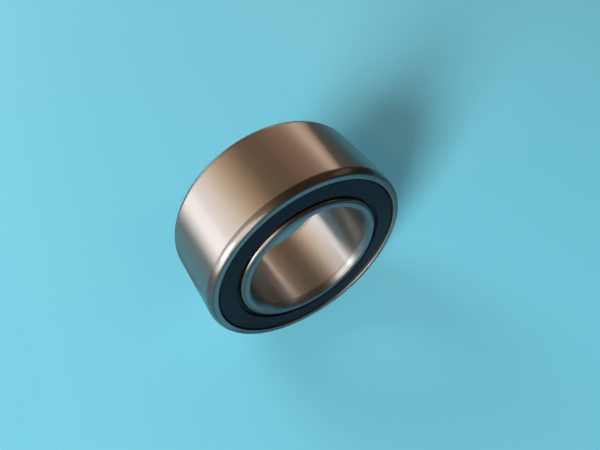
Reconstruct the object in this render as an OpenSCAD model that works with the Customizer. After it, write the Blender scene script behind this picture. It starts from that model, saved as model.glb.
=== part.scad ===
// Double-row angular contact ball bearing with a rubber seal on each side.
// The bearing stands on its rim: its axis lies along Y, its front faces -Y and +Z is up.
// The origin is the centre of the bearing. All sizes are in millimetres and degrees.

/* [Rings] */
// Diameter of the bore
bore_d = 30; // [27:0.5:33]
// Outside diameter
outer_d = 50; // [47:0.5:56]
// Width from face to face
width = 20; // [19:0.5:26]
// Flat width of the outer ring's faces
outer_face_w = 1; // [0.8:0.05:1.6]
// Flat width of the inner ring's faces
inner_face_w = 0.95; // [0.7:0.05:1.3]

/* [Corners] */
// Length along the axis of the outer ring's outside corners
outer_corner_l = 1.65; // [1.2:0.05:2.2]
// Height of the outer ring's outside corners
outer_corner_h = 1; // [0.6:0.05:1.15]
// Length along the axis of the bore's corners
bore_corner_l = 1.8; // [1.2:0.05:2.2]
// Height of the bore's corners
bore_corner_h = 0.95; // [0.6:0.05:1]
// Length along the axis of the corners beside the seal lands
land_corner_l = 0.9; // [0.85:0.01:0.98]
// Height of the corners beside the seal lands
land_corner_h = 0.9; // [0.5:0.05:0.9]
// Angle at which a corner's rounding leaves the ground cylinder beside it
corner_lead = 4.5; // [3:0.5:8]
// Chamfer on the rim round each seal
rim_chamfer = 0.08; // [0.05:0.01:0.3]

/* [Balls and raceways] */
// Diameter of a ball
ball_d = 5.556; // [4.8:0.001:6.2]
// Number of balls in each row
balls_per_row = 15; // [9:1:17]
// Contact angle, between the line of load and the plane of a row
contact_angle = 25; // [15:1:40]
// Radius of a raceway's groove, as a share of the ball's diameter
groove_share = 0.525; // [0.515:0.005:0.54]
// Running gap between a ball and its raceway
ball_gap = 0.07; // [0.05:0.01:0.12]
// Height of the shoulder that carries the load, above the bottom of the groove
high_shoulder_h = 1.25; // [0.8:0.05:1.5]
// Height of the low shoulder that the balls snap over
low_shoulder_h = 0.22; // [0.12:0.02:0.4]

/* [Cages] */
// Play of a ball in its pocket
pocket_gap = 0.12; // [0.08:0.01:0.2]
// Wall of the cage behind a pocket
cage_back_t = 0.9; // [0.6:0.05:1.2]
// Reach of the claws past the middle of a ball
claw_reach = 1.2; // [0.6:0.05:1.4]
// Gap between a cage and the shoulders on both sides of it
cage_gap = 0.35; // [0.25:0.05:0.5]
// Chamfer on the cage's outer edges
cage_chamfer = 0.35; // [0.1:0.05:0.5]
// Depth of the valley between two claws, past the middle of the balls
valley_past = 1.4; // [0.4:0.1:1.8]
// Gap between a cage and its seal
cage_seal_gap = 0.7; // [0.5:0.05:1]

/* [Seals] */
// Depth of a seal's face below the faces of the rings
seal_recess = 0.4; // [0.2:0.05:0.6]
// Thickness of a seal
seal_t = 1.5; // [1.3:0.05:2]
// Thickness of the rubber over the steel insert
skin_t = 0.55; // [0.4:0.05:0.7]
// Thickness of the steel insert
insert_t = 0.45; // [0.3:0.05:0.5]
// Width of the insert's turned rim
insert_rim_w = 0.45; // [0.3:0.05:0.6]
// Depth of the groove that holds a seal's bead
seal_groove_h = 0.55; // [0.4:0.05:0.7]
// Length of the outer ring's lip over the bead
seal_lip_l = 0.75; // [0.65:0.05:0.9]
// Width of the bead's rubber round the insert
bead_w = 0.7; // [0.55:0.05:1]
// Gap that shows between a seal's face and the inner ring
face_gap = 0.8; // [0.5:0.05:1]
// Width of the rubber between the face's inner edge and the insert
edge_w = 0.6; // [0.4:0.05:0.8]
// Length of the sealing lip's tip along the axis
lip_tip_l = 0.22; // [0.15:0.01:0.35]
// Running gap between the sealing lip and its land
lip_gap = 0.1; // [0.06:0.01:0.15]
// Fitting gap between a seal and the outer ring
seat_gap = 0.05; // [0.03:0.01:0.1]
// Bond line between the rubber and the steel insert
bond_gap = 0.03; // [0.02:0.01:0.06]
// Chamfer on the inner edge of a seal's face
seal_chamfer = 0.14; // [0.05:0.01:0.25]
// Chamfer on the outer edge of a seal's face
seal_rim_chamfer = 0.35; // [0.1:0.01:0.38]

/* [Hidden] */
$fn = 96;
past = 1;
half_w = width / 2;
bore_r = bore_d / 2;
outer_r = outer_d / 2;
ball_r = ball_d / 2;
pitch_r = (bore_r + outer_r) / 2;

// Places along the axis, from a face towards the middle
seal_face_y = half_w - seal_recess;
seal_back_y = seal_face_y - seal_t;
cage_back_y = seal_back_y - cage_seal_gap;
row_y = cage_back_y - cage_back_t - pocket_gap - ball_r;
cage_mouth_y = row_y - claw_reach;
lip_under_y = half_w - seal_lip_l;
insert_face_y = seal_face_y - skin_t;

// Raceway grooves: each is set off from its row along the line of contact
groove_r = groove_share * ball_d;
groove_off = groove_r - ball_r - ball_gap;
groove_off_r = groove_off * cos(contact_angle);
groove_off_y = groove_off * sin(contact_angle);
outer_groove_r = pitch_r - groove_off_r + groove_r;
inner_groove_r = pitch_r + groove_off_r - groove_r;
outer_rib_r = outer_groove_r - high_shoulder_h;
outer_low_r = outer_groove_r - low_shoulder_h;
inner_high_r = inner_groove_r + high_shoulder_h;
inner_low_r = inner_groove_r + low_shoulder_h;

// Places of the seals across the axis
seat_r = outer_r - outer_corner_h - outer_face_w;
seal_groove_r = seat_r + seal_groove_h;
land_r = bore_r + bore_corner_h + inner_face_w + land_corner_h;
land_step_y = seal_back_y - seat_gap;
bead_r = seal_groove_r - seat_gap;
seal_edge_r = seat_r - seat_gap;
face_edge_r = land_r + face_gap;
insert_in_r = face_edge_r + edge_w;
insert_out_r = bead_r - bead_w;
lip_r = land_r + lip_gap;
bead_top_y = lip_under_y - seat_gap;
bead_slope = seal_groove_h - seat_gap;

// Cage: the bar between two pockets is shared by two claws and the valley between them
cage_in_r = inner_high_r + cage_gap;
cage_out_r = outer_rib_r - cage_gap;
pocket_r = ball_r + pocket_gap;
ball_step = 360 / balls_per_row;
bar_w = 2 * pitch_r * sin(ball_step / 2) - 2 * pocket_r;
valley_w = bar_w / 3;
valley_mouth_w = bar_w / 2;

// A row is named by the side it is on. Its sign is the way it faces along the axis
ROWS = ["front", "rear"];
function row_sign(row) = row == "front" ? -1 : 1;
// The rear row is turned half a step on from the front row
function row_turn(row) = row == "front" ? 0 : ball_step / 2;
function ball_name(row, number) = str(row, "_ball_", number < 10 ? "0" : "", number);

// Turns a shape made round Z on to the bearing's axis
module on_axis() rotate([-90, 0, 0]) children();

// Turns a shape made for the rear side to face the side of a row
module on_side(row) mirror([0, 0, row == "front" ? 1 : 0]) children();

// A ring profile from the points of its rear half, in order round the section
module both_halves(points) {
    last = len(points) - 1;
    polygon(concat(points, [for (i = [0:last]) [points[last - i].x, -points[last - i].y]]));
}

// What is turned off a corner between a cylinder at edge_r and a face at half_w.
// facing is 1 on an outside corner and -1 in a bore
module corner_cut(edge_r, length, height, facing) {
    chord = norm([length, height]);
    rounding = chord / 2 / sin(atan(height / length) - corner_lead);
    inset = sqrt(rounding * rounding - chord * chord / 4) / chord;
    centre_r = edge_r - facing * (height / 2 + inset * length);
    centre_y = half_w - length / 2 - inset * height;
    difference() {
        translate([facing > 0 ? centre_r : edge_r - past, centre_y])
            square([facing * (edge_r - centre_r) + past, half_w + past - centre_y]);
        translate([centre_r, centre_y])
            circle(r = rounding);
    }
}

// Draws a shape at both ends of a section
module both_ends() {
    children();
    mirror([0, 1]) children();
}

// One ring carries both rows: a high rib in the middle, low shoulders outside it
// and a groove near each face for the bead of a seal
module outer_ring() {
    color([0.74, 0.70, 0.66])
    on_axis()
    rotate_extrude()
    difference() {
        both_halves([
            [outer_rib_r, row_y],
            [outer_low_r, row_y],
            [outer_low_r, land_step_y],
            [seal_groove_r, land_step_y],
            [seal_groove_r, lip_under_y - seal_groove_h],
            [seat_r, lip_under_y],
            [seat_r, half_w - rim_chamfer],
            [seat_r + rim_chamfer, half_w],
            [outer_r, half_w]
        ]);
        both_ends() {
            translate([pitch_r - groove_off_r, row_y + groove_off_y])
                circle(r = groove_r);
            corner_cut(outer_r, outer_corner_l, outer_corner_h, 1);
        }
    }
}

// One ring carries both rows: high shoulders outside them, low shoulders between them
// and a ground land near each face for the lip of a seal
module inner_ring() {
    color([0.76, 0.73, 0.69])
    on_axis()
    rotate_extrude()
    difference() {
        both_halves([
            [bore_r, half_w],
            [land_r, half_w],
            [land_r, land_step_y],
            [inner_high_r, land_step_y],
            [inner_high_r, row_y],
            [inner_low_r, row_y]
        ]);
        both_ends() {
            translate([pitch_r + groove_off_r, row_y - groove_off_y])
                circle(r = groove_r);
            corner_cut(bore_r, bore_corner_l, bore_corner_h, -1);
            corner_cut(land_r, land_corner_l, land_corner_h, 1);
        }
    }
}

// Moulded rubber: a bead that snaps into the outer ring, a flat skin over the insert
// and a lip that runs on the inner ring's land
module seal(row) {
    lip_root_y = insert_face_y - insert_t - bond_gap;
    color([0.10, 0.14, 0.18])
    on_axis()
    on_side(row)
    rotate_extrude()
    polygon([
        [face_edge_r + seal_chamfer, seal_face_y],
        [seal_edge_r - seal_rim_chamfer, seal_face_y],
        [seal_edge_r, seal_face_y - seal_rim_chamfer],
        [seal_edge_r, bead_top_y],
        [bead_r, bead_top_y - bead_slope],
        [bead_r, seal_back_y],
        [insert_out_r + bond_gap, seal_back_y],
        [insert_out_r + bond_gap, insert_face_y + bond_gap],
        [insert_in_r - bond_gap, insert_face_y + bond_gap],
        [insert_in_r - bond_gap, lip_root_y],
        [lip_r + lip_tip_l, lip_root_y],
        [lip_r, lip_root_y + lip_tip_l],
        [lip_r, lip_root_y + 2 * lip_tip_l],
        [face_edge_r, seal_face_y - skin_t],
        [face_edge_r, seal_face_y - seal_chamfer]
    ]);
}

// Stamped steel: a flat washer with its outer rim turned in, bonded into the rubber
module seal_insert(row) {
    color([0.62, 0.63, 0.65])
    on_axis()
    on_side(row)
    rotate_extrude()
    polygon([
        [insert_in_r, insert_face_y - insert_t],
        [insert_out_r - insert_rim_w, insert_face_y - insert_t],
        [insert_out_r - insert_rim_w, seal_back_y],
        [insert_out_r, seal_back_y],
        [insert_out_r, insert_face_y],
        [insert_in_r, insert_face_y]
    ]);
}

// The valley between two claws, on a spoke at angle 0: a straight slot that widens to the mouth
module valley() {
    depth_y = row_y + valley_past;
    rotate([90, 0, 90])
    linear_extrude(height = outer_r)
    polygon([
        [-valley_mouth_w / 2, cage_mouth_y - past],
        [valley_mouth_w / 2, cage_mouth_y - past],
        [valley_w / 2, row_y],
        [valley_w / 4, depth_y],
        [-valley_w / 4, depth_y],
        [-valley_w / 2, row_y]
    ]);
}

// Moulded crown cage: a ring behind the balls, with round pockets between pairs of claws.
// It is made from the middle of one valley round to the same valley
module cage(row) {
    color([0.86, 0.80, 0.66])
    on_axis()
    on_side(row)
    rotate([0, 0, row_turn(row) - ball_step / 2])
    difference() {
        rotate_extrude()
        polygon([
            [cage_in_r, cage_mouth_y],
            [cage_out_r, cage_mouth_y],
            [cage_out_r, cage_back_y - cage_chamfer],
            [cage_out_r - cage_chamfer, cage_back_y],
            [cage_in_r + cage_chamfer, cage_back_y],
            [cage_in_r, cage_back_y - cage_chamfer]
        ]);
        for (number = [1:balls_per_row]) {
            rotate([0, 0, (number - 0.5) * ball_step])
                translate([pitch_r, 0, row_y])
                sphere(r = pocket_r);
            rotate([0, 0, number * ball_step])
                valley();
        }
    }
}

// One hardened ball
module ball(row, number) {
    color([0.80, 0.81, 0.83])
    on_axis()
    rotate([0, 0, row_turn(row) + (number - 1) * ball_step])
    translate([pitch_r, 0, row_sign(row) * row_y])
    sphere(d = ball_d);
}

outer_ring();
inner_ring();
for (row = ROWS) {
    seal(row);
    seal_insert(row);
    cage(row);
    for (number = [1:balls_per_row])
        ball(row, number);
}
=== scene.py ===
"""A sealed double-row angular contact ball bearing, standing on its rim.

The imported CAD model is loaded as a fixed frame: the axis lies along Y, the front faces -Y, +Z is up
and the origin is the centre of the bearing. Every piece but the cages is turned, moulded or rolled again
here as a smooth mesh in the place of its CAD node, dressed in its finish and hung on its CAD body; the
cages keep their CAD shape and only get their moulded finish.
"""
import logging
import math
from dataclasses import dataclass, field
from enum import Enum

import bpy
import numpy as np
from mathutils import Euler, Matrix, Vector


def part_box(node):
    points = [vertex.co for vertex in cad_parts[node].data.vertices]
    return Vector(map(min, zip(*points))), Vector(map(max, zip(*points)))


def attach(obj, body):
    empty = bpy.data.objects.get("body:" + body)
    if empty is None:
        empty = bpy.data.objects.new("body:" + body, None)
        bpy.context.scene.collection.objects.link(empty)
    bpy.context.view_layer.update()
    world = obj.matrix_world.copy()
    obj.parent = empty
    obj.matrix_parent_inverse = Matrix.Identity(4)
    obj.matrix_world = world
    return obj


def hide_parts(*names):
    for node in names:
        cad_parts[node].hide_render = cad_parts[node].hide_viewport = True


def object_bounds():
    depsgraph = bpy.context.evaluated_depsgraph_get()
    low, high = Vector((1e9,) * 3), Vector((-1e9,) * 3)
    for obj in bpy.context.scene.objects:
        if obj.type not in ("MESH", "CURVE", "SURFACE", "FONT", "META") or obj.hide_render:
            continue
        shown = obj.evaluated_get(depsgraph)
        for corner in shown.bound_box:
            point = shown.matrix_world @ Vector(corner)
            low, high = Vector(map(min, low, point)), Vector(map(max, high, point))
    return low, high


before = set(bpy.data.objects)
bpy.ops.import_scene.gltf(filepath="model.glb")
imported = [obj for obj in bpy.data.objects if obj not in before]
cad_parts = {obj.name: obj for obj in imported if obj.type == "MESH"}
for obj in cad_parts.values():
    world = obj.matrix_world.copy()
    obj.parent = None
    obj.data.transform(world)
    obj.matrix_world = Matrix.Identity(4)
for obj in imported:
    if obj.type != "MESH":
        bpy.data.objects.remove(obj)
cad_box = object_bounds()

log = logging.getLogger("bearing")

MM = 0.001

Point = tuple[float, float]
Colour = tuple[float, float, float]


class Side(Enum):
    """The two sides of the bearing, by the way that each faces along the axis."""

    FRONT = -1
    REAR = 1

    @property
    def word(self) -> str:
        """The side's name as the CAD nodes and bodies use it."""
        return self.name.lower()


class Skin(Enum):
    """The ways that a stretch of a turned or moulded surface is finished."""

    GROUND = "ground_cylinder"
    BORE = "ground_bore"
    FACE = "ground_face"
    CORNER = "turned_corner"
    ROUND = "ground_round"
    RACEWAY = "honed_raceway"
    TURNED = "turned_recess"
    RUBBER = "moulded_rubber"
    PRESSED = "pressed_steel"
    MOULDED = "moulded_polyamide"
    ROLLED = "lapped_ball"


# Shader effects that several finishes share.


class Effect:
    """A shader node group that turns object coordinates into a pattern, built once and reused."""

    title: str = "effect"
    inputs: dict[str, float] = {}
    output: str = "Height"

    def tree(self) -> bpy.types.NodeTree:
        """The group's tree, made the first time that a finish asks for it.

        Returns:
            The node tree, with a Vector input, the effect's own inputs and one output.
        """
        made = bpy.data.node_groups.get(self.title)
        if made:
            return made
        tree = bpy.data.node_groups.new(self.title, "ShaderNodeTree")
        tree.interface.new_socket("Vector", in_out="INPUT", socket_type="NodeSocketVector")
        for name, value in self.inputs.items():
            socket = tree.interface.new_socket(name, in_out="INPUT", socket_type="NodeSocketFloat")
            socket.default_value = value
        tree.interface.new_socket(self.output, in_out="OUTPUT", socket_type="NodeSocketFloat")
        source = tree.nodes.new("NodeGroupInput")
        sink = tree.nodes.new("NodeGroupOutput")
        self.wire(Wiring(tree), source, sink)
        return tree

    def wire(self, wiring: "Wiring", source: bpy.types.Node, sink: bpy.types.Node) -> None:
        """Fills the group with its nodes.

        Args:
            wiring: helper that adds nodes to the group.
            source: the group's input node.
            sink: the group's output node.
        """
        raise NotImplementedError


# Places of the colour sockets on a Mix node, which has a set of sockets for every data type.
MIX_COLOURS = (6, 7)
MIX_RESULT = 2


@dataclass
class Wiring:
    """Adds nodes to a tree and joins them."""

    tree: bpy.types.NodeTree

    def node(self, kind: str, **settings: object) -> bpy.types.Node:
        """Adds a node.

        Args:
            kind: the node's type name.
            settings: properties to set on it.

        Returns:
            The new node.
        """
        made = self.tree.nodes.new(kind)
        for name, value in settings.items():
            setattr(made, name, value)
        return made

    def feed(self, socket: bpy.types.NodeSocket, value: object) -> None:
        """Links an output to a socket, or sets the socket to a plain value.

        Args:
            socket: the input to feed.
            value: an output to link, or a plain value.
        """
        if isinstance(value, bpy.types.NodeSocket):
            self.tree.links.new(value, socket)
        else:
            socket.default_value = value

    def maths(self, operation: str, *values: object) -> bpy.types.NodeSocket:
        """Adds a Math node.

        Args:
            operation: the node's operation.
            values: outputs or numbers for its inputs, in order.

        Returns:
            The node's output.
        """
        made = self.node("ShaderNodeMath", operation=operation)
        for socket, value in zip(made.inputs, values):
            self.feed(socket, value)
        return made.outputs[0]

    def spread(
        self, value: object, low: float, high: float, to_low: float, to_high: float
    ) -> bpy.types.NodeSocket:
        """Adds a clamped Map Range node.

        Args:
            value: output to map.
            low: value that becomes to_low.
            high: value that becomes to_high.
            to_low: lowest result.
            to_high: highest result.

        Returns:
            The node's output.
        """
        made = self.node("ShaderNodeMapRange")
        for socket, entry in zip(made.inputs, (value, low, high, to_low, to_high)):
            self.feed(socket, entry)
        return made.outputs[0]

    def blend(
        self, factor: object, first: bpy.types.NodeSocket | Colour, second: bpy.types.NodeSocket | Colour
    ) -> bpy.types.NodeSocket:
        """Adds a colour Mix node.

        Args:
            factor: output that runs from the first colour at 0 to the second at 1.
            first: colour output, or a linear colour.
            second: colour output, or a linear colour.

        Returns:
            The node's colour output.
        """
        made = self.node("ShaderNodeMix", data_type="RGBA")
        self.feed(made.inputs[0], factor)
        for socket, colour in zip(MIX_COLOURS, (first, second)):
            plain = not isinstance(colour, bpy.types.NodeSocket)
            self.feed(made.inputs[socket], (*colour, 1.0) if plain else colour)
        return made.outputs[MIX_RESULT]


class LatheLines(Effect):
    """Fine lines that run round the bearing's axis, as grinding and turning leave them."""

    title = "lathe_lines"
    inputs = {"Lines per Metre": 8000.0, "Breaks": 3.0}
    octaves: float = 3.0
    fading: float = 0.6

    def wire(self, wiring: Wiring, source: bpy.types.Node, sink: bpy.types.Node) -> None:
        """Stretches noise round the axis: it changes fast across the lines and slowly along them.

        Args:
            wiring: helper that adds nodes to the group.
            source: the group's input node.
            sink: the group's output node.
        """
        parts = wiring.node("ShaderNodeSeparateXYZ")
        wiring.feed(parts.inputs[0], source.outputs["Vector"])
        across_x, along, across_z = parts.outputs
        squares = wiring.maths("ADD", wiring.maths("MULTIPLY", across_x, across_x),
                               wiring.maths("MULTIPLY", across_z, across_z))
        radius = wiring.maths("SQRT", squares)
        sine = wiring.maths("DIVIDE", across_x, radius)
        cosine = wiring.maths("DIVIDE", across_z, radius)
        pitch = source.outputs["Lines per Metre"]
        breaks = source.outputs["Breaks"]
        place = wiring.node("ShaderNodeCombineXYZ")
        wiring.feed(place.inputs[0], wiring.maths("MULTIPLY", radius, pitch))
        wiring.feed(place.inputs[1], wiring.maths("MULTIPLY", along, pitch))
        wiring.feed(place.inputs[2], wiring.maths("MULTIPLY", sine, breaks))
        noise = wiring.node("ShaderNodeTexNoise", noise_dimensions="4D")
        wiring.feed(noise.inputs["Vector"], place.outputs[0])
        wiring.feed(noise.inputs["W"], wiring.maths("MULTIPLY", cosine, breaks))
        wiring.feed(noise.inputs["Scale"], 1.0)
        wiring.feed(noise.inputs["Detail"], self.octaves)
        wiring.feed(noise.inputs["Roughness"], self.fading)
        wiring.feed(sink.inputs[0], noise.outputs[0])


class OilFilm(Effect):
    """Broad soft patches where a wiped film of oil or a fingertip has dulled the surface."""

    title = "oil_film"
    inputs = {"Patches per Metre": 90.0, "Cover": 0.5}
    output = "Mask"
    octaves: float = 4.0
    fading: float = 0.55
    swirl: float = 0.6
    softness: float = 0.15

    def wire(self, wiring: Wiring, source: bpy.types.Node, sink: bpy.types.Node) -> None:
        """Cuts soft patches out of warped noise.

        Args:
            wiring: helper that adds nodes to the group.
            source: the group's input node.
            sink: the group's output node.
        """
        noise = wiring.node("ShaderNodeTexNoise")
        wiring.feed(noise.inputs["Vector"], source.outputs["Vector"])
        wiring.feed(noise.inputs["Scale"], source.outputs["Patches per Metre"])
        wiring.feed(noise.inputs["Detail"], self.octaves)
        wiring.feed(noise.inputs["Roughness"], self.fading)
        wiring.feed(noise.inputs["Distortion"], self.swirl)
        edge = wiring.maths("SUBTRACT", 1.0, source.outputs["Cover"])
        mask = wiring.node("ShaderNodeMapRange", interpolation_type="SMOOTHSTEP")
        wiring.feed(mask.inputs[0], noise.outputs[0])
        wiring.feed(mask.inputs[1], wiring.maths("SUBTRACT", edge, self.softness))
        wiring.feed(mask.inputs[2], wiring.maths("ADD", edge, self.softness))
        wiring.feed(sink.inputs[0], mask.outputs[0])


class FineGrain(Effect):
    """The fine even grain that a moulding tool or a tumbling barrel leaves."""

    title = "fine_grain"
    inputs = {"Grains per Metre": 6000.0}
    octaves: float = 2.0

    def wire(self, wiring: Wiring, source: bpy.types.Node, sink: bpy.types.Node) -> None:
        """Uses noise of one size with a little finer noise on it.

        Args:
            wiring: helper that adds nodes to the group.
            source: the group's input node.
            sink: the group's output node.
        """
        noise = wiring.node("ShaderNodeTexNoise")
        wiring.feed(noise.inputs["Vector"], source.outputs["Vector"])
        wiring.feed(noise.inputs["Scale"], source.outputs["Grains per Metre"])
        wiring.feed(noise.inputs["Detail"], self.octaves)
        wiring.feed(sink.inputs[0], noise.outputs[0])


# Finishes.


@dataclass(frozen=True)
class Finish:
    """A surface finish: a plain shader whose colour, gloss and relief vary by the shared effects."""

    skin: Skin
    colour: Colour
    dull_colour: Colour
    gloss_rough: float
    dull_rough: float
    metallic: float = 1.0
    specular: float = 0.5

    def material(self) -> bpy.types.Material:
        """The finish's material, made the first time that a piece asks for it.

        Returns:
            The material.
        """
        made = bpy.data.materials.get(self.skin.value)
        if made:
            return made
        made = bpy.data.materials.new(self.skin.value)
        made.use_nodes = True
        wiring = Wiring(made.node_tree)
        shader = made.node_tree.nodes["Principled BSDF"]
        shader.inputs["Metallic"].default_value = self.metallic
        shader.inputs["Specular IOR Level"].default_value = self.specular
        coordinates = wiring.node("ShaderNodeTexCoord").outputs["Object"]
        self.dress(wiring, shader, coordinates)
        made.diffuse_color = (*self.colour, 1.0)
        return made

    def effect(self, wiring: Wiring, effect: Effect, place: object, **values: float) -> bpy.types.NodeSocket:
        """Places a shared effect in the material.

        Args:
            wiring: helper for the material's tree.
            effect: the effect to place.
            place: output with object coordinates.
            values: values for the effect's inputs, with underscores for the spaces in their names.

        Returns:
            The effect's output.
        """
        group = wiring.node("ShaderNodeGroup", node_tree=effect.tree())
        wiring.feed(group.inputs["Vector"], place)
        for name, value in values.items():
            wiring.feed(group.inputs[name.replace("_", " ")], value)
        return group.outputs[0]

    def wear(self, wiring: Wiring, shader: bpy.types.Node, worn: object) -> None:
        """Takes colour and gloss from the bright surface to the dulled one.

        Args:
            wiring: helper for the material's tree.
            shader: the material's shader.
            worn: output that runs from 0 where the surface is bright to 1 where it is dulled.
        """
        rough = wiring.spread(worn, 0.0, 1.0, self.gloss_rough, self.dull_rough)
        wiring.feed(shader.inputs["Base Color"], wiring.blend(worn, self.colour, self.dull_colour))
        wiring.feed(shader.inputs["Roughness"], rough)

    def relief(self, wiring: Wiring, shader: bpy.types.Node, height: object, depth: float) -> None:
        """Raises the surface by a pattern.

        Args:
            wiring: helper for the material's tree.
            shader: the material's shader.
            height: output with the pattern.
            depth: height of the pattern in metres.
        """
        bump = wiring.node("ShaderNodeBump")
        wiring.feed(bump.inputs["Strength"], 1.0)
        wiring.feed(bump.inputs["Distance"], depth)
        wiring.feed(bump.inputs["Height"], height)
        wiring.feed(shader.inputs["Normal"], bump.outputs[0])

    def dress(self, wiring: Wiring, shader: bpy.types.Node, place: object) -> None:
        """Wires the finish's patterns to its shader.

        Args:
            wiring: helper for the material's tree.
            shader: the material's shader.
            place: output with object coordinates.
        """
        raise NotImplementedError


# Turn of the steel's smeared gloss, as a share of a full turn, that lays it across the lines.
ACROSS_LINES = 0.25


@dataclass(frozen=True)
class CutSteel(Finish):
    """Bearing steel that was ground, honed or turned: lines round the axis under a thin oil film."""

    lines: float = 8000.0
    breaks: float = 3.0
    depth: float = 0.0
    film: float = 0.35
    brushed: float = 0.0
    line_share: float = 0.6

    def dress(self, wiring: Wiring, shader: bpy.types.Node, place: object) -> None:
        """Lets lines and film set colour and gloss, and the lines the relief and the smear of the gloss.

        Args:
            wiring: helper for the material's tree.
            shader: the material's shader.
            place: output with object coordinates.
        """
        shader.inputs["Anisotropic"].default_value = self.brushed
        shader.inputs["Anisotropic Rotation"].default_value = ACROSS_LINES
        round_axis = wiring.node("ShaderNodeTangent", direction_type="RADIAL", axis="Y")
        wiring.feed(shader.inputs["Tangent"], round_axis.outputs[0])
        lines = self.effect(wiring, LatheLines(), place, Lines_per_Metre=self.lines, Breaks=self.breaks)
        film = self.effect(wiring, OilFilm(), place, Cover=self.film)
        worn = wiring.maths("ADD", wiring.maths("MULTIPLY", lines, self.line_share),
                            wiring.maths("MULTIPLY", film, 1.0 - self.line_share))
        self.wear(wiring, shader, worn)
        if self.depth:
            self.relief(wiring, shader, lines, self.depth)


@dataclass(frozen=True)
class GrainedStuff(Finish):
    """Moulded rubber, moulded plastic or tumbled sheet steel: a fine grain and a few dulled patches."""

    grains: float = 6000.0
    depth: float = 0.0
    film: float = 0.3

    def dress(self, wiring: Wiring, shader: bpy.types.Node, place: object) -> None:
        """Lets the film set colour and gloss, and the grain the relief.

        Args:
            wiring: helper for the material's tree.
            shader: the material's shader.
            place: output with object coordinates.
        """
        film = self.effect(wiring, OilFilm(), place, Cover=self.film)
        grain = self.effect(wiring, FineGrain(), place, Grains_per_Metre=self.grains)
        self.wear(wiring, shader, film)
        if self.depth:
            self.relief(wiring, shader, grain, self.depth)


FINISHES: dict[Skin, Finish] = {
    finish.skin: finish
    for finish in (
        CutSteel(Skin.GROUND, (0.275, 0.257, 0.244), (0.244, 0.228, 0.216), 0.24, 0.29,
                 lines=9000.0, film=0.3, brushed=1.0),
        # The bore's steel is paler than the outside's to make up for the light that the bore's own walls keep
        # out: painted light.
        CutSteel(Skin.BORE, (0.36, 0.344, 0.332), (0.325, 0.311, 0.3), 0.29, 0.33,
                 lines=12000.0, film=0.3, brushed=1.0),
        CutSteel(Skin.ROUND, (0.265, 0.252, 0.241), (0.238, 0.226, 0.216), 0.33, 0.38,
                 lines=9000.0, film=0.3, brushed=0.9),
        CutSteel(Skin.FACE, (0.34, 0.252, 0.268), (0.276, 0.205, 0.215), 0.24, 0.32,
                 lines=9000.0, brushed=0.5),
        CutSteel(Skin.CORNER, (0.160, 0.147, 0.140), (0.106, 0.098, 0.094), 0.20, 0.32,
                 lines=5000.0, depth=2e-6),
        CutSteel(Skin.RACEWAY, (0.60, 0.59, 0.57), (0.56, 0.55, 0.53), 0.08, 0.14,
                 lines=14000.0, film=0.2),
        CutSteel(Skin.TURNED, (0.42, 0.40, 0.38), (0.32, 0.30, 0.28), 0.32, 0.46,
                 lines=4000.0, depth=3e-6),
        GrainedStuff(Skin.RUBBER, (0.002, 0.0025, 0.006), (0.003, 0.0035, 0.007), 0.36, 0.44,
                     metallic=0.0, specular=0.13, depth=1e-6),
        GrainedStuff(Skin.PRESSED, (0.50, 0.51, 0.52), (0.43, 0.44, 0.45), 0.36, 0.48, depth=2e-6),
        GrainedStuff(Skin.MOULDED, (0.72, 0.62, 0.42), (0.66, 0.56, 0.37), 0.38, 0.48,
                     metallic=0.0, depth=3e-6),
        GrainedStuff(Skin.ROLLED, (0.62, 0.62, 0.62), (0.59, 0.59, 0.59), 0.04, 0.08, film=0.2),
    )
}


# Tools that draw and turn a piece.


@dataclass
class Outline:
    """A half-section in the plane of radius and axis, drawn side by side with the finish of each side."""

    points: list[Point]
    skins: list[Skin] = field(default_factory=list)
    hold: float = 0.08 * MM
    hold_share: float = 0.25

    def point(self, radius: float, axial: float, skin: Skin) -> None:
        """Draws a bare side from the last point to a new radius and place along the axis."""
        self.points.append((radius, axial))
        self.skins.append(skin)

    def line(self, radius: float, axial: float, skin: Skin) -> None:
        """Draws a straight side from the last point, held flat by a point near each of its ends.

        Args:
            radius: radius of the end point, from the bearing's axis.
            axial: place of the end point along the axis.
            skin: the finish of this stretch.
        """
        last_radius, last_axial = self.points[-1]
        share = self.hold / max(math.hypot(radius - last_radius, axial - last_axial), self.hold)
        if share < self.hold_share:
            for part in (share, 1.0 - share):
                self.point(last_radius + part * (radius - last_radius),
                           last_axial + part * (axial - last_axial), skin)
        self.point(radius, axial, skin)

    def arc(self, centre: Point, radius: float, axial: float, skin: Skin, steps: int = 12) -> None:
        """Draws the shorter arc from the last point to a new one.

        Args:
            centre: the arc's centre.
            radius: radius of the end point, from the bearing's axis.
            axial: place of the end point along the axis.
            skin: the finish of this stretch.
            steps: number of straight sides.
        """
        last_radius, last_axial = self.points[-1]
        bend = math.hypot(last_radius - centre[0], last_axial - centre[1])
        first = math.atan2(last_axial - centre[1], last_radius - centre[0])
        turn = math.atan2(axial - centre[1], radius - centre[0]) - first
        turn = math.remainder(turn, math.tau)
        for step in range(1, steps):
            angle = first + turn * step / steps
            self.point(centre[0] + bend * math.cos(angle), centre[1] + bend * math.sin(angle), skin)
        self.point(radius, axial, skin)

    def mirror(self) -> None:
        """Completes a half that starts and ends in the middle plane with its mirror image."""
        there = list(zip(self.points[:-1], self.skins))
        for (radius, axial), skin in reversed(there):
            self.point(radius, -axial, skin)
        self.points.pop()
        self.skins[-1] = self.skins[0]

    def facing(self, side: Side) -> "Outline":
        """The same outline, turned to face a side."""
        return Outline([(radius, axial * side.value) for radius, axial in self.points], self.skins)


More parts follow.
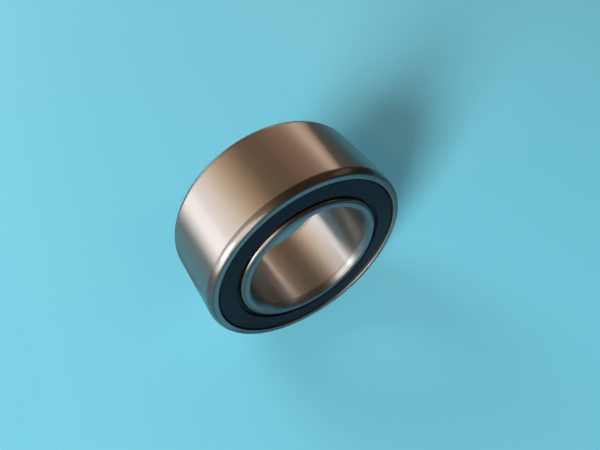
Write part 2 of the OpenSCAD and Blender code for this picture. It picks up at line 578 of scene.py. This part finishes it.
class Workshop:
    """Makes meshes with Blender's own modelling tools."""

    steps: int = 256
    edge: float = 0.05 * MM
    edge_steps: int = 2
    edge_angle: float = math.radians(25.0)
    smooth_angle: float = math.radians(35.0)
    merge: float = 1e-7

    @staticmethod
    def clear() -> None:
        """Leaves nothing selected, in object mode."""
        if bpy.context.object and bpy.context.object.mode != "OBJECT":
            bpy.ops.object.mode_set(mode="OBJECT")
        bpy.ops.object.select_all(action="DESELECT")

    def lathe(self, name: str, outline: Outline) -> bpy.types.Object:
        """Turns a closed half-section round the Y axis.

        Args:
            name: the new object's name.
            outline: the half-section.

        Returns:
            The turned object, with broken edges, smooth shading and a finish on every stretch.
        """
        self.clear()
        bpy.ops.mesh.primitive_plane_add(size=MM)
        made = bpy.context.object
        made.name = made.data.name = name
        bpy.ops.object.mode_set(mode="EDIT")
        bpy.ops.mesh.select_all(action="SELECT")
        bpy.ops.mesh.merge(type="CENTER")
        bpy.ops.transform.translate(value=(*outline.points[0], 0.0))
        for before, after in zip(outline.points, outline.points[1:]):
            move = (after[0] - before[0], after[1] - before[1], 0.0)
            bpy.ops.mesh.extrude_region_move(TRANSFORM_OT_translate={"value": move})
        self.pick_ends(made)
        bpy.ops.mesh.edge_face_add()
        bpy.ops.mesh.select_all(action="SELECT")
        bpy.ops.mesh.spin(steps=self.steps, angle=math.tau, center=(0, 0, 0), axis=(0, 1, 0))
        self.close()
        self.break_edges(made)
        self.paint(made, outline)
        return made

    @staticmethod
    def pick_ends(made: bpy.types.Object) -> None:
        """Selects the first and the last vertex of a drawn line, in edit mode.

        Args:
            made: the object that holds the line.
        """
        bpy.ops.mesh.select_all(action="DESELECT")
        bpy.ops.object.mode_set(mode="OBJECT")
        made.data.vertices[0].select = True
        made.data.vertices[-1].select = True
        bpy.ops.object.mode_set(mode="EDIT")

    def close(self) -> None:
        """Merges doubles and turns all faces outwards, from edit mode back to object mode."""
        bpy.ops.mesh.select_all(action="SELECT")
        bpy.ops.mesh.remove_doubles(threshold=self.merge)
        bpy.ops.mesh.normals_make_consistent(inside=False)
        bpy.ops.object.mode_set(mode="OBJECT")

    def break_edges(self, made: bpy.types.Object) -> None:
        """Rounds the sharp edges a little and smooths the shading.

        Args:
            made: the active object, in object mode.
        """
        bevel = made.modifiers.new("broken_edges", "BEVEL")
        bevel.width = self.edge
        bevel.segments = self.edge_steps
        bevel.limit_method = "ANGLE"
        bevel.angle_limit = self.edge_angle
        bpy.ops.object.modifier_apply(modifier=bevel.name)
        bpy.ops.object.shade_smooth_by_angle(angle=self.smooth_angle)

    @staticmethod
    def paint(made: bpy.types.Object, outline: Outline) -> None:
        """Gives each face the finish of the side of the outline that it lies on.

        Args:
            made: the turned object.
            outline: its half-section.
        """
        skins = list(dict.fromkeys(outline.skins))
        for skin in skins:
            made.data.materials.append(FINISHES[skin].material())
        centres = np.empty(3 * len(made.data.polygons))
        made.data.polygons.foreach_get("center", centres)
        centres = centres.reshape(-1, 3)
        places = np.stack([np.hypot(centres[:, 0], centres[:, 2]), centres[:, 1]], axis=1)
        starts = np.array(outline.points)
        ends = np.roll(starts, -1, axis=0)
        nearest = np.full(len(places), np.inf)
        choice = np.zeros(len(places), dtype=np.int32)
        closed = outline.skins + outline.skins[:1]
        for start, end, skin in zip(starts, ends, closed):
            way = end - start
            share = np.clip((places - start) @ way / max(way @ way, 1e-18), 0.0, 1.0)
            gap = np.linalg.norm(places - start - share[:, None] * way, axis=1)
            better = gap < nearest
            nearest[better] = gap[better]
            choice[better] = skins.index(skin)
        made.data.polygons.foreach_set("material_index", choice)

    def ball(self, name: str, radius: float, cuts: int = 15) -> bpy.types.Object:
        """Rolls a ball of even square faces out of a cube.

        Args:
            name: the new object's name.
            radius: the ball's radius.
            cuts: cuts across each side of the cube.

        Returns:
            The ball, round the origin.
        """
        self.clear()
        bpy.ops.mesh.primitive_cube_add(size=2 * radius)
        made = bpy.context.object
        made.name = made.data.name = name
        bpy.ops.object.mode_set(mode="EDIT")
        bpy.ops.mesh.select_all(action="SELECT")
        bpy.ops.mesh.subdivide(number_cuts=cuts)
        self.close()
        cast = made.modifiers.new("rolled", "CAST")
        cast.factor = 1.0
        cast.size = radius
        cast.use_radius_as_size = False
        bpy.ops.object.modifier_apply(modifier=cast.name)
        bpy.ops.object.shade_smooth()
        made.data.materials.append(FINISHES[Skin.ROLLED].material())
        return made


WORKSHOP = Workshop()


def hang(piece: bpy.types.Object, body: str, node: str) -> None:
    """Puts a finished piece in the place of its CAD node.

    Args:
        piece: the finished piece.
        body: the CAD body that it moves with.
        node: the CAD node that it stands for.
    """
    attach(piece, body)
    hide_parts(node)
    log.info("%s stands for %s on %s: %d faces", piece.name, node, body, len(piece.data.polygons))


# The bearing's pieces.


def reach(node: str) -> tuple[float, float, float]:
    """A CAD node's largest radius round the axis, and its ends along it, nearest and farthest.

    Args:
        node: a node that goes round the whole bearing, on both sides of the middle or on one.

    Returns:
        The radius, and the smallest and the largest distance from the middle plane.
    """
    low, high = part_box(node)
    ends = sorted((abs(low.y), abs(high.y)))
    return high.x, ends[0], ends[1]


@dataclass
class Raceways:
    """The two grooves that the balls run in, set off from the middle of a row along the contact line."""

    contact_angle: float = math.radians(25.0)
    groove_share: float = 0.525
    ball_gap: float = 0.07 * MM
    high_shoulder: float = 1.25 * MM
    low_shoulder: float = 0.22 * MM

    def __post_init__(self) -> None:
        """Reads the balls from the frame and works out the grooves."""
        low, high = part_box("front_ball_01")
        centre = (low + high) / 2
        self.ball_radius = max(high - low) / 2
        self.pitch_radius = math.hypot(centre.x, centre.z)
        self.row = abs(centre.y)
        self.groove = 2 * self.groove_share * self.ball_radius
        off = self.groove - self.ball_radius - self.ball_gap
        self.off_radius = off * math.cos(self.contact_angle)
        self.off_axial = off * math.sin(self.contact_angle)

    def outer_centre(self) -> Point:
        """Centre of the outer groove's arc, in the rear half."""
        return self.pitch_radius - self.off_radius, self.row + self.off_axial

    def inner_centre(self) -> Point:
        """Centre of the inner groove's arc, in the rear half."""
        return self.pitch_radius + self.off_radius, self.row - self.off_axial

    def half_chord(self, rise: float) -> float:
        """Half the width of the groove where it is a given height above its bottom."""
        return math.sqrt(self.groove ** 2 - (self.groove - rise) ** 2)


@dataclass
class Corner:
    """A rounded corner between a cylinder and a face, or a part of one.

    It starts with a slope of lead against the cylinder and runs as one arc over length and height.
    """

    length: float
    height: float
    lead: float = math.radians(4.5)

    def centre(self, edge: float, half_width: float, facing: int) -> Point:
        """Centre of the corner's rounding.

        Args:
            edge: radius of the cylinder.
            half_width: place of the face along the axis.
            facing: 1 on an outside corner and -1 in a bore.

        Returns:
            The centre, as radius and place along the axis.
        """
        chord = math.hypot(self.length, self.height)
        rounding = chord / 2 / math.sin(math.atan(self.height / self.length) - self.lead)
        inset = math.sqrt(rounding ** 2 - chord ** 2 / 4) / chord
        radius = edge - facing * (self.height / 2 + inset * self.length)
        return radius, half_width - self.length / 2 - inset * self.height


@dataclass
class OuterRing:
    """The outer ring: both raceways with a high rib between them, and a groove for each seal's bead."""

    raceways: Raceways
    run_in: Corner = field(default_factory=lambda: Corner(1.5 * MM, 0.66 * MM))
    tight: Corner = field(default_factory=lambda: Corner(0.15 * MM, 0.34 * MM, math.radians(43.0)))
    tight_steps: int = 8
    groove_steps: int = 24
    face_width: float = 1.0 * MM
    rim_chamfer: float = 0.08 * MM
    seal_groove: float = 0.55 * MM
    seal_lip: float = 0.75 * MM
    seat_gap: float = 0.05 * MM

    @property
    def rim(self) -> float:
        """Outer radius of the ring's faces."""
        return reach("outer_ring")[0] - self.run_in.height - self.tight.height

    @property
    def seat(self) -> float:
        """Inner radius of the ring's faces, where a seal sits."""
        return self.rim - self.face_width

    def outline(self) -> Outline:
        """The ring's section, from the middle of the outside round to the rib and back.

        Returns:
            The closed outline.
        """
        edge, _, half_width = reach("outer_ring")
        _, seal_back, _ = reach("rear_seal")
        groove_radius, groove_axial = self.raceways.outer_centre()
        bottom = groove_radius + self.raceways.groove
        low = bottom - self.raceways.low_shoulder
        rib = bottom - self.raceways.high_shoulder
        seat = self.seat
        under_lip = half_width - self.seal_lip
        step = seal_back - self.seat_gap
        drawn = Outline([(edge, 0.0)])
        blend = half_width - self.tight.length
        shoulder = edge - self.run_in.height
        drawn.line(edge, blend - self.run_in.length, Skin.GROUND)
        drawn.arc(self.run_in.centre(edge, blend, 1), shoulder, blend, Skin.CORNER)
        drawn.arc(self.tight.centre(shoulder, half_width, 1), self.rim, half_width,
                  Skin.CORNER, self.tight_steps)
        drawn.line(seat + self.rim_chamfer, half_width, Skin.FACE)
        drawn.line(seat, half_width - self.rim_chamfer, Skin.TURNED)
        drawn.line(seat, under_lip, Skin.TURNED)
        drawn.line(seat + self.seal_groove, under_lip - self.seal_groove, Skin.TURNED)
        drawn.line(seat + self.seal_groove, step, Skin.TURNED)
        drawn.line(low, step, Skin.TURNED)
        drawn.line(low, groove_axial + self.raceways.half_chord(self.raceways.low_shoulder), Skin.TURNED)
        drawn.arc((groove_radius, groove_axial), rib,
                  groove_axial - self.raceways.half_chord(self.raceways.high_shoulder),
                  Skin.RACEWAY, self.groove_steps)
        drawn.line(rib, 0.0, Skin.TURNED)
        drawn.mirror()
        return drawn

    def build(self) -> None:
        """Turns the ring and hangs it on its body."""
        hang(WORKSHOP.lathe("ring_outer", self.outline()), "outer", "outer_ring")


@dataclass
class InnerRing:
    """The inner ring: both raceways with high shoulders outside them, and a land for each seal's lip."""

    raceways: Raceways
    bore: float = 15.0 * MM
    bore_corner: Corner = field(default_factory=lambda: Corner(1.8 * MM, 0.95 * MM))
    land_corner: Corner = field(default_factory=lambda: Corner(0.9 * MM, 0.9 * MM))
    groove_steps: int = 24
    face_width: float = 0.95 * MM
    seat_gap: float = 0.05 * MM

    @property
    def land(self) -> float:
        """Radius of the land that a seal's lip runs on."""
        return self.bore + self.bore_corner.height + self.face_width + self.land_corner.height

    def outline(self) -> Outline:
        """The ring's section, from the middle of the bore round to the raceways and back.

        Returns:
            The closed outline.
        """
        _, _, half_width = reach("inner_ring")
        _, seal_back, _ = reach("rear_seal")
        groove_radius, groove_axial = self.raceways.inner_centre()
        bottom = groove_radius - self.raceways.groove
        low = bottom + self.raceways.low_shoulder
        high = bottom + self.raceways.high_shoulder
        step = seal_back - self.seat_gap
        drawn = Outline([(self.bore, 0.0)])
        drawn.line(self.bore, half_width - self.bore_corner.length, Skin.BORE)
        drawn.arc(self.bore_corner.centre(self.bore, half_width, -1),
                  self.bore + self.bore_corner.height, half_width, Skin.ROUND)
        drawn.line(self.land - self.land_corner.height, half_width, Skin.FACE)
        drawn.arc(self.land_corner.centre(self.land, half_width, 1),
                  self.land, half_width - self.land_corner.length, Skin.CORNER)
        drawn.line(self.land, step, Skin.GROUND)
        drawn.line(high, step, Skin.TURNED)
        drawn.line(high, groove_axial + self.raceways.half_chord(self.raceways.high_shoulder), Skin.TURNED)
        drawn.arc((groove_radius, groove_axial), low,
                  groove_axial - self.raceways.half_chord(self.raceways.low_shoulder),
                  Skin.RACEWAY, self.groove_steps)
        drawn.line(low, 0.0, Skin.TURNED)
        drawn.mirror()
        return drawn

    def build(self) -> None:
        """Turns the ring and hangs it on its body."""
        hang(WORKSHOP.lathe("ring_inner", self.outline()), "inner", "inner_ring")


@dataclass
class SealSet:
    """A moulded rubber seal and the steel insert that is bonded into it, for one side."""

    side: Side
    land: float
    seat: float
    groove: float
    lip_length: float
    skin: float = 0.55 * MM
    insert: float = 0.45 * MM
    insert_rim: float = 0.45 * MM
    face_gap: float = 0.8 * MM
    edge_width: float = 0.6 * MM
    lip_tip: float = 0.22 * MM
    lip_gap: float = 0.1 * MM
    seat_gap: float = 0.05 * MM
    bond: float = 0.03 * MM
    chamfer: float = 0.14 * MM
    rim_chamfer: float = 0.35 * MM

    def __post_init__(self) -> None:
        """Reads the seal and its insert from the frame."""
        self.bead, self.back, self.face = reach(f"{self.side.word}_seal")
        self.insert_out, _, self.insert_face = reach(f"{self.side.word}_seal_insert")
        self.face_edge = self.land + self.face_gap
        self.insert_in = self.face_edge + self.edge_width

    def rubber(self) -> Outline:
        """The rubber's section: flat face, bead, pocket for the insert, and running lip.

        Returns:
            The closed outline, for the rear side.
        """
        _, _, half_width = reach("outer_ring")
        edge = self.seat - self.seat_gap
        bead_top = half_width - self.lip_length - self.seat_gap
        lip_root = self.insert_face - self.insert - self.bond
        lip = self.land + self.lip_gap
        drawn = Outline([(self.face_edge + self.chamfer, self.face)])
        for radius, axial in (
            (edge - self.rim_chamfer, self.face),
            (edge, self.face - self.rim_chamfer),
            (edge, bead_top),
            (self.bead, bead_top - self.groove + self.seat_gap),
            (self.bead, self.back),
            (self.insert_out + self.bond, self.back),
            (self.insert_out + self.bond, self.insert_face + self.bond),
            (self.insert_in - self.bond, self.insert_face + self.bond),
            (self.insert_in - self.bond, lip_root),
            (lip + self.lip_tip, lip_root),
            (lip, lip_root + self.lip_tip),
            (lip, lip_root + 2 * self.lip_tip),
            (self.face_edge, self.face - self.skin),
            (self.face_edge, self.face - self.chamfer),
        ):
            drawn.line(radius, axial, Skin.RUBBER)
        return drawn

    def washer(self) -> Outline:
        """The insert's section: a flat washer with its outer rim turned in.

        Returns:
            The closed outline, for the rear side.
        """
        rim = self.insert_out - self.insert_rim
        back = self.insert_face - self.insert
        drawn = Outline([(self.insert_in, back)])
        for radius, axial in ((rim, back), (rim, self.back), (self.insert_out, self.back),
                              (self.insert_out, self.insert_face), (self.insert_in, self.insert_face)):
            drawn.line(radius, axial, Skin.PRESSED)
        return drawn

    def build(self) -> None:
        """Moulds the seal, stamps its insert and hangs both on the outer ring's body."""
        word = self.side.word
        seal = WORKSHOP.lathe(f"seal_{word}", self.rubber().facing(self.side))
        hang(seal, "outer", f"{word}_seal")
        insert = WORKSHOP.lathe(f"insert_{word}", self.washer().facing(self.side))
        hang(insert, "outer", f"{word}_seal_insert")


@dataclass
class BallRow:
    """The balls of one row, rolled once and copied."""

    side: Side
    count: int = 15

    def build(self, pattern: bpy.types.Object) -> None:
        """Sets a copy of the pattern ball in each place and hangs it on its own body.

        Args:
            pattern: the ball that is copied.
        """
        for number in range(1, self.count + 1):
            node = f"{self.side.word}_ball_{number:02d}"
            low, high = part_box(node)
            made = bpy.data.objects.new(f"ball_{self.side.word}_{number:02d}", pattern.data.copy())
            made.data.name = made.name
            bpy.context.scene.collection.objects.link(made)
            WORKSHOP.clear()
            made.select_set(True)
            bpy.context.view_layer.objects.active = made
            made.location = (low + high) / 2
            bpy.ops.object.transform_apply(location=True, rotation=False, scale=False)
            hang(made, node, node)


@dataclass
class Cage:
    """The moulded crown cage of one row."""

    side: Side

    def build(self) -> None:
        """Gives the CAD node, whose shape is right, its moulded finish."""
        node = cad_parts[f"{self.side.word}_cage"]
        node.data.materials.clear()
        node.data.materials.append(FINISHES[Skin.MOULDED].material())
        log.info("%s keeps its CAD shape", node.name)


# The studio.


@dataclass(frozen=True)
class Band:
    """A stretch of the room's walls and ceiling, by its angle in degrees round the axis from straight up."""

    angle: float
    colour: Colour


@dataclass(frozen=True)
class Card:
    """A flat glowing card that only reflections show: a pale one is a painted highlight streak, a dark one
    painted shade in the steel.

    Places and sizes are in millimetres and angles in degrees. A card with no lean lies flat, one with a
    lean of 90 stands upright, and its turn then takes it round from the left.
    """

    name: str
    centre: tuple[float, float, float]
    width: float
    length: float
    glow: Colour
    lean: float = 0.0
    turn: float = 0.0

    def build(self) -> None:
        """Lays the card with its length along the axis, then leans it over and turns it to its side."""
        WORKSHOP.clear()
        bpy.ops.mesh.primitive_plane_add(size=1.0, location=Vector(self.centre) * MM,
                                         rotation=(0.0, math.radians(self.lean), math.radians(self.turn)))
        made = bpy.context.object
        made.name = made.data.name = self.name
        made.scale = (self.width * MM, self.length * MM, 1.0)
        paint = bpy.data.materials.new(self.name)
        paint.use_nodes = True
        shader = paint.node_tree.nodes["Principled BSDF"]
        shader.inputs["Base Color"].default_value = (0.0, 0.0, 0.0, 1.0)
        shader.inputs["Specular IOR Level"].default_value = 0.0
        shader.inputs["Emission Color"].default_value = (*self.glow, 1.0)
        shader.inputs["Emission Strength"].default_value = 1.0
        made.data.materials.append(paint)
        # Only glossy rays see the card, so its glow is a painted reflection that lights nothing.
        made.visible_camera = made.visible_diffuse = made.visible_shadow = False


@dataclass
class Studio:
    """A pale table top under a soft room, with one broad window on the left, and the camera."""

    bands: tuple[Band, ...] = (
        Band(-110.0, (2.79, 2.86, 2.94)),
        Band(-86.0, (2.99, 3.02, 3.06)),
        Band(-68.0, (2.58, 2.37, 2.15)),
        Band(-50.0, (1.93, 1.55, 1.14)),
        Band(-30.0, (1.32, 0.938, 0.619)),
        Band(-10.0, (0.694, 0.483, 0.32)),
        Band(8.0, (0.53, 0.374, 0.239)),
        Band(32.0, (0.816, 0.503, 0.333)),
        Band(44.0, (0.748, 0.496, 0.326)),
        Band(60.0, (0.462, 0.32, 0.231)),
        Band(90.0, (0.204, 0.19, 0.19)),
    )
    cards: tuple[Card, ...] = (
        # Pale cards, seen only in reflections: painted highlights and painted reflections of a lit room.
        Card("pale_streak_reflection", (114.4, 202.0, 96.0), 114.0, 285.0, (2.2, 1.66, 1.25), lean=-57.3),
        Card("pale_wall_reflection", (-102.0, 240.0, 5.75), 23.5, 520.0, (3.29, 3.26, 3.24), lean=90.0),
        Card("low_bright_reflection", (-102.0, -45.0, 1.75), 31.5, 50.0, (6.12, 6.05, 5.98), lean=90.0),
        # Dark cards, seen only in reflections: the first two darken the left edge and the table beside it.
        Card("dark_edge_reflection", (-101.0, 150.0, -15.1), 19.8, 600.0, (0.462, 0.49, 0.517), lean=90.0),
        Card("dark_strip_reflection", (-84.0, 150.0, -24.5), 36.0, 600.0, (0.422, 0.53, 0.571)),
        # Painted shade: the table just behind the bearing, shaded, as reflections see it.
        Card("painted_shade_behind", (-15.0, 32.0, -24.4), 44.0, 38.0, (0.20, 0.20, 0.21)),
        # Painted shadow: the bearing's shadow on the table behind it to the right, as reflections see it.
        Card("painted_shadow_right", (34.0, 32.0, -24.4), 54.0, 38.0, (0.12, 0.13, 0.14)),
        # Darker table at the front right, seen only in reflections.
        Card("dark_front_reflection", (195.0, -40.0, -24.4), 300.0, 100.0, (0.09, 0.27, 0.34)),
        # Painted shade: the table at the rim's foot in front, as reflections see it.
        Card("contact_shade", (2.0, -14.5, -24.4), 42.0, 8.0, (0.09, 0.30, 0.38)),
        # Painted highlights of the window and the room round it; the window lamp itself stays out of
        # reflections.
        Card("window_reflection", (-974.0, -225.0, 165.0), 340.0, 510.0, (13.0, 13.2, 13.5), lean=90.0, turn=13.0),
        Card("upper_window_reflection", (-866.0, -520.0, 675.0), 680.0, 1020.0, (4.5, 4.35, 4.2), lean=90.0, turn=31.0),
        Card("dim_side_reflection", (-766.0, -643.0, 130.0), 400.0, 353.0, (2.4, 2.32, 2.2), lean=90.0, turn=40.0),
        Card("brown_glow_reflection", (153.0, -27.0, 126.0), 60.0, 130.0, (0.50, 0.45, 0.39), lean=90.0, turn=-10.0),
    )
    shade_left: tuple[float, float] = (-0.65, -0.2)
    shade_back: tuple[float, float] = (0.3, 0.62)
    overhead: float = 0.23
    backdrop: Colour = (0.148, 0.151, 0.157)
    horizon: Colour = (0.36, 0.66, 0.75)
    table_colour: Colour = (0.181, 0.62, 0.775)
    table_rough: float = 0.6
    table_half: float = 3.0
    window_azimuth: float = math.radians(-56.5)
    window_distance: float = 2.0
    window_width: float = 0.6
    window_height: float = 1.2
    window_watts: float = 117.0
    window_colour: Colour = (1.0, 0.98, 0.96)
    glow_place: tuple[float, float, float] = (-0.25, 0.55, 0.45)
    glow_size: float = 0.35
    glow_watts: float = 1.6
    camera_place: tuple[float, float, float] = (-34.315 * MM, -60.174 * MM, 83.675 * MM)
    camera_down: float = math.radians(49.387)
    camera_azimuth: float = math.radians(-31.686)
    lens: float = 27.39
    sensor: float = 36.0
    nearest: float = 1.0 * MM

    def table(self) -> None:
        """Lays the table top under the rim."""
        low, _ = cad_box
        WORKSHOP.clear()
        bpy.ops.mesh.primitive_plane_add(size=2 * self.table_half, location=(0.0, 0.0, low[2]))
        top = bpy.context.object
        top.name = top.data.name = "table_top"
        paint = bpy.data.materials.new("table_paint")
        paint.use_nodes = True
        shader = paint.node_tree.nodes["Principled BSDF"]
        shader.inputs["Base Color"].default_value = (*self.table_colour, 1.0)
        shader.inputs["Roughness"].default_value = self.table_rough
        top.data.materials.append(paint)

    def room(self) -> None:
        """Hangs the room's bands in the world for the polished steel, and a plain soft light for the rest."""
        world = bpy.data.worlds.new("room")
        bpy.context.scene.world = world
        world.use_nodes = True
        wiring = Wiring(world.node_tree)
        background = world.node_tree.nodes["Background"]
        parts = wiring.node("ShaderNodeSeparateXYZ")
        wiring.feed(parts.inputs[0], wiring.node("ShaderNodeTexCoord").outputs["Generated"])
        angle = wiring.maths("ARCTAN2", parts.outputs["X"], parts.outputs["Z"])
        ramp = wiring.node("ShaderNodeValToRGB")
        wiring.feed(ramp.inputs[0], wiring.spread(angle, -math.pi, math.pi, 0.0, 1.0))
        stops = ramp.color_ramp.elements
        while len(stops) < len(self.bands):
            stops.new(0.5)
        for stop, band in zip(stops, self.bands):
            stop.position = band.angle / 360.0 + 0.5
            stop.color = (*band.colour, 1.0)
        inward = wiring.spread(parts.outputs["X"], *self.shade_left, 0.0, 1.0)
        nearer = wiring.spread(parts.outputs["Y"], *self.shade_back, 1.0 - self.overhead, 0.0)
        shade = wiring.maths("SUBTRACT", 1.0, wiring.maths("MULTIPLY", inward, nearer))
        shaded = wiring.node("ShaderNodeVectorMath", operation="SCALE")
        wiring.feed(shaded.inputs[0], ramp.outputs[0])
        wiring.feed(shaded.inputs["Scale"], shade)
        path = wiring.node("ShaderNodeLightPath")
        seen = wiring.blend(path.outputs["Is Camera Ray"], self.backdrop, self.horizon)
        room = wiring.blend(path.outputs["Is Glossy Ray"], seen, shaded.outputs["Vector"])
        wiring.feed(background.inputs["Color"], room)
        world.cycles.sampling_method = "NONE"

    def lights(self) -> None:
        """Sets the window on the left, standing on the table, and the glow of the wall beside it."""
        low, _ = cad_box
        away = Vector((math.sin(self.window_azimuth), -math.cos(self.window_azimuth), 0.0))
        place = away * self.window_distance + Vector((0.0, 0.0, low[2] + self.window_height / 2))
        window = self.area("window", place, -away, self.window_width, self.window_height, self.window_watts)
        window.data.color = self.window_colour
        place = Vector(self.glow_place)
        glow = self.area("wall_glow", place, -place, self.glow_size, self.glow_size, self.glow_watts)
        window.visible_glossy = glow.visible_glossy = False

    @staticmethod
    def area(
        name: str, place: Vector, towards: Vector, width: float, height: float, watts: float
    ) -> bpy.types.Object:
        """Adds a rectangular light.

        Args:
            name: the light's name.
            place: its centre.
            towards: the way that it shines.
            width: its width.
            height: its height.
            watts: its power.

        Returns:
            The light.
        """
        lamp = bpy.data.lights.new(name, "AREA")
        lamp.shape = "RECTANGLE"
        lamp.size = width
        lamp.size_y = height
        lamp.energy = watts
        made = bpy.data.objects.new(name, lamp)
        made.location = place
        made.rotation_euler = towards.to_track_quat("-Z", "Y").to_euler()
        bpy.context.scene.collection.objects.link(made)
        return made

    def camera(self) -> None:
        """Sets the camera where the photograph was taken from."""
        eye = bpy.data.cameras.new("camera")
        eye.sensor_fit = "HORIZONTAL"
        eye.sensor_width = self.sensor
        eye.lens = self.lens
        eye.clip_start = self.nearest
        made = bpy.data.objects.new("camera", eye)
        made.location = self.camera_place
        made.rotation_euler = Euler((math.pi / 2 - self.camera_down, 0.0, self.camera_azimuth))
        bpy.context.scene.collection.objects.link(made)
        bpy.context.scene.camera = made

    def build(self) -> None:
        """Sets up the table, the room, the lights and the camera."""
        self.table()
        self.room()
        self.lights()
        for card in self.cards:
            card.build()
        self.camera()
        bpy.context.scene.view_settings.view_transform = "Standard"
        log.info("studio is set")


def main() -> None:
    """Builds the bearing piece by piece, then the studio."""
    raceways = Raceways()
    outer = OuterRing(raceways)
    inner = InnerRing(raceways)
    outer.build()
    inner.build()
    for side in Side:
        SealSet(side, inner.land, outer.seat, outer.seal_groove, outer.seal_lip).build()
        Cage(side).build()
    pattern = WORKSHOP.ball("ball_pattern", raceways.ball_radius)
    for side in Side:
        BallRow(side).build(pattern)
    bpy.data.objects.remove(pattern)
    Studio().build()


if __name__ == "__main__":
    logging.basicConfig(level=logging.INFO, format="%(name)s: %(message)s")
    main()
